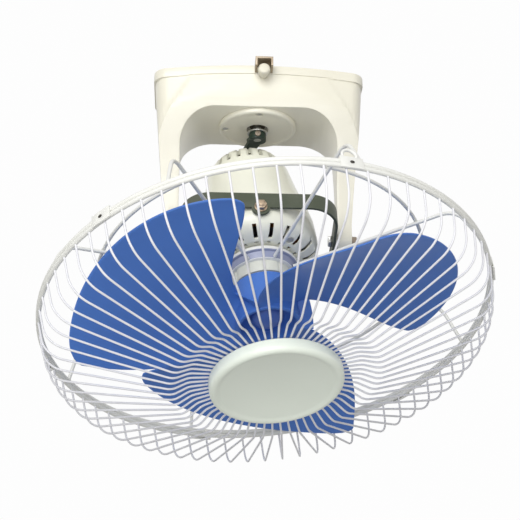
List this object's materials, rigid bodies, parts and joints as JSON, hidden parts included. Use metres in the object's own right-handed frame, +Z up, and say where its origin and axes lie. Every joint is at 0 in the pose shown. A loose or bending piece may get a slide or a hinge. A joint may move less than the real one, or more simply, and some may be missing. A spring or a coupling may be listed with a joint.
{
  "type": "orbital ceiling fan",
  "caption": "Ceiling fan with a caged head in a gimbal under a forked canopy; a slow crank leads the head round so that the air sweeps the whole room.",
  "frame": {"origin": "middle of the ceiling plate's upper face, which lies on the ceiling", "axes": "+Z up into the ceiling, -Y towards the viewer of the picture (the knob's side), +X to the viewer's right along the canopy's long side"},
  "size_m": [0.4436, 0.433, 0.3678],
  "materials": {
    "canopy_cream": "gloss",
    "motor_cream": "gloss",
    "guard_white": "satin",
    "badge_ivory": "gloss",
    "blade_blue": "gloss",
    "spinner_blue": "gloss",
    "strap_dark": "satin",
    "plate_steel": "satin",
    "bright_steel": "satin",
    "lamination": "matte",
    "copper": "satin",
    "brass": "satin",
    "nylon": "matte",
    "grey_plastic": "matte",
    "rubber_black": "matte",
    "dark_screw": "satin"
  },
  "bodies": {
    "canopy": {"ceiling_plate": "plate_steel", "cable_grommet": "rubber_black", "canopy_housing": "canopy_cream", "canopy_thumbscrew": "canopy_cream", "terminal_block": "nylon", "fan_capacitor": "grey_plastic", "gearbox_case": "grey_plastic", "gearbox_cover": "canopy_cream", "gearbox_screws": "bright_steel", "orbit_motor": "bright_steel", "crank_bush": "brass", "arm_pivot_bolts": "bright_steel", "arm_pivot_nuts": "brass", "arm_pivot_washers": "nylon"},
    "crank": {"crank_gear": "nylon", "crank_shaft": "bright_steel", "crank_arm": "strap_dark", "crank_screw": "bright_steel", "crank_washer": "bright_steel"},
    "pinion": {"orbit_pinion": "nylon"},
    "gimbal": {"gimbal_ring": "strap_dark", "head_pivot_screws": "brass", "head_pivot_washers": "nylon"},
    "head": {"motor_rear_cover": "motor_cream", "motor_front_cover": "motor_cream", "cover_screws": "bright_steel", "tail_pin": "bright_steel", "stator_core": "lamination", "stator_windings": "copper", "rear_bearing": "bright_steel", "front_bearing": "bright_steel", "rear_guard_plate": "guard_white", "rear_guard_rings": "guard_white", "rear_guard_spokes": "guard_white", "guard_lock_nut": "motor_cream", "front_guard_ring": "guard_white", "front_guard_wires": "guard_white", "front_guard_centre": "guard_white", "guard_badge": "badge_ivory", "guard_clips": "guard_white", "guard_clip_screws": "dark_screw", "guard_hanger_loop": "guard_white"},
    "rotor": {"rotor_core": "lamination", "motor_shaft": "bright_steel", "fan_blades": "blade_blue", "blade_cross_pin": "bright_steel", "blade_spinner": "spinner_blue"}
  },
  "joints": [
    {"name": "crank_spin", "type": "hinge", "parent": "canopy", "child": "crank", "pos_m": [0, 0, -0.05], "axis": [0, 0, 1], "continuous": true},
    {"name": "pinion_spin", "type": "hinge", "parent": "canopy", "child": "pinion", "pos_m": [0.0315, 0, -0.034], "axis": [0, 0, 1], "continuous": true},
    {"name": "ring_tilt", "type": "hinge", "parent": "canopy", "child": "gimbal", "pos_m": [0, 0, -0.173], "axis": [1, 0, 0], "range_deg": [-0.9, 33.9]},
    {"name": "head_tilt", "type": "hinge", "parent": "gimbal", "child": "head", "pos_m": [0, -0.00341, -0.18451], "axis": [0, 0.9588, -0.284], "range_deg": [-11.9, 22.9]},
    {"name": "blade_spin", "type": "hinge", "parent": "head", "child": "rotor", "pos_m": [-0.00115, -0.00002, -0.17305], "axis": [-0.0958, 0.2827, 0.9544], "continuous": true}
  ],
  "couplings": [
    {"joint": "pinion_spin", "follows": "crank_spin", "ratio": -3.2}
  ]
}
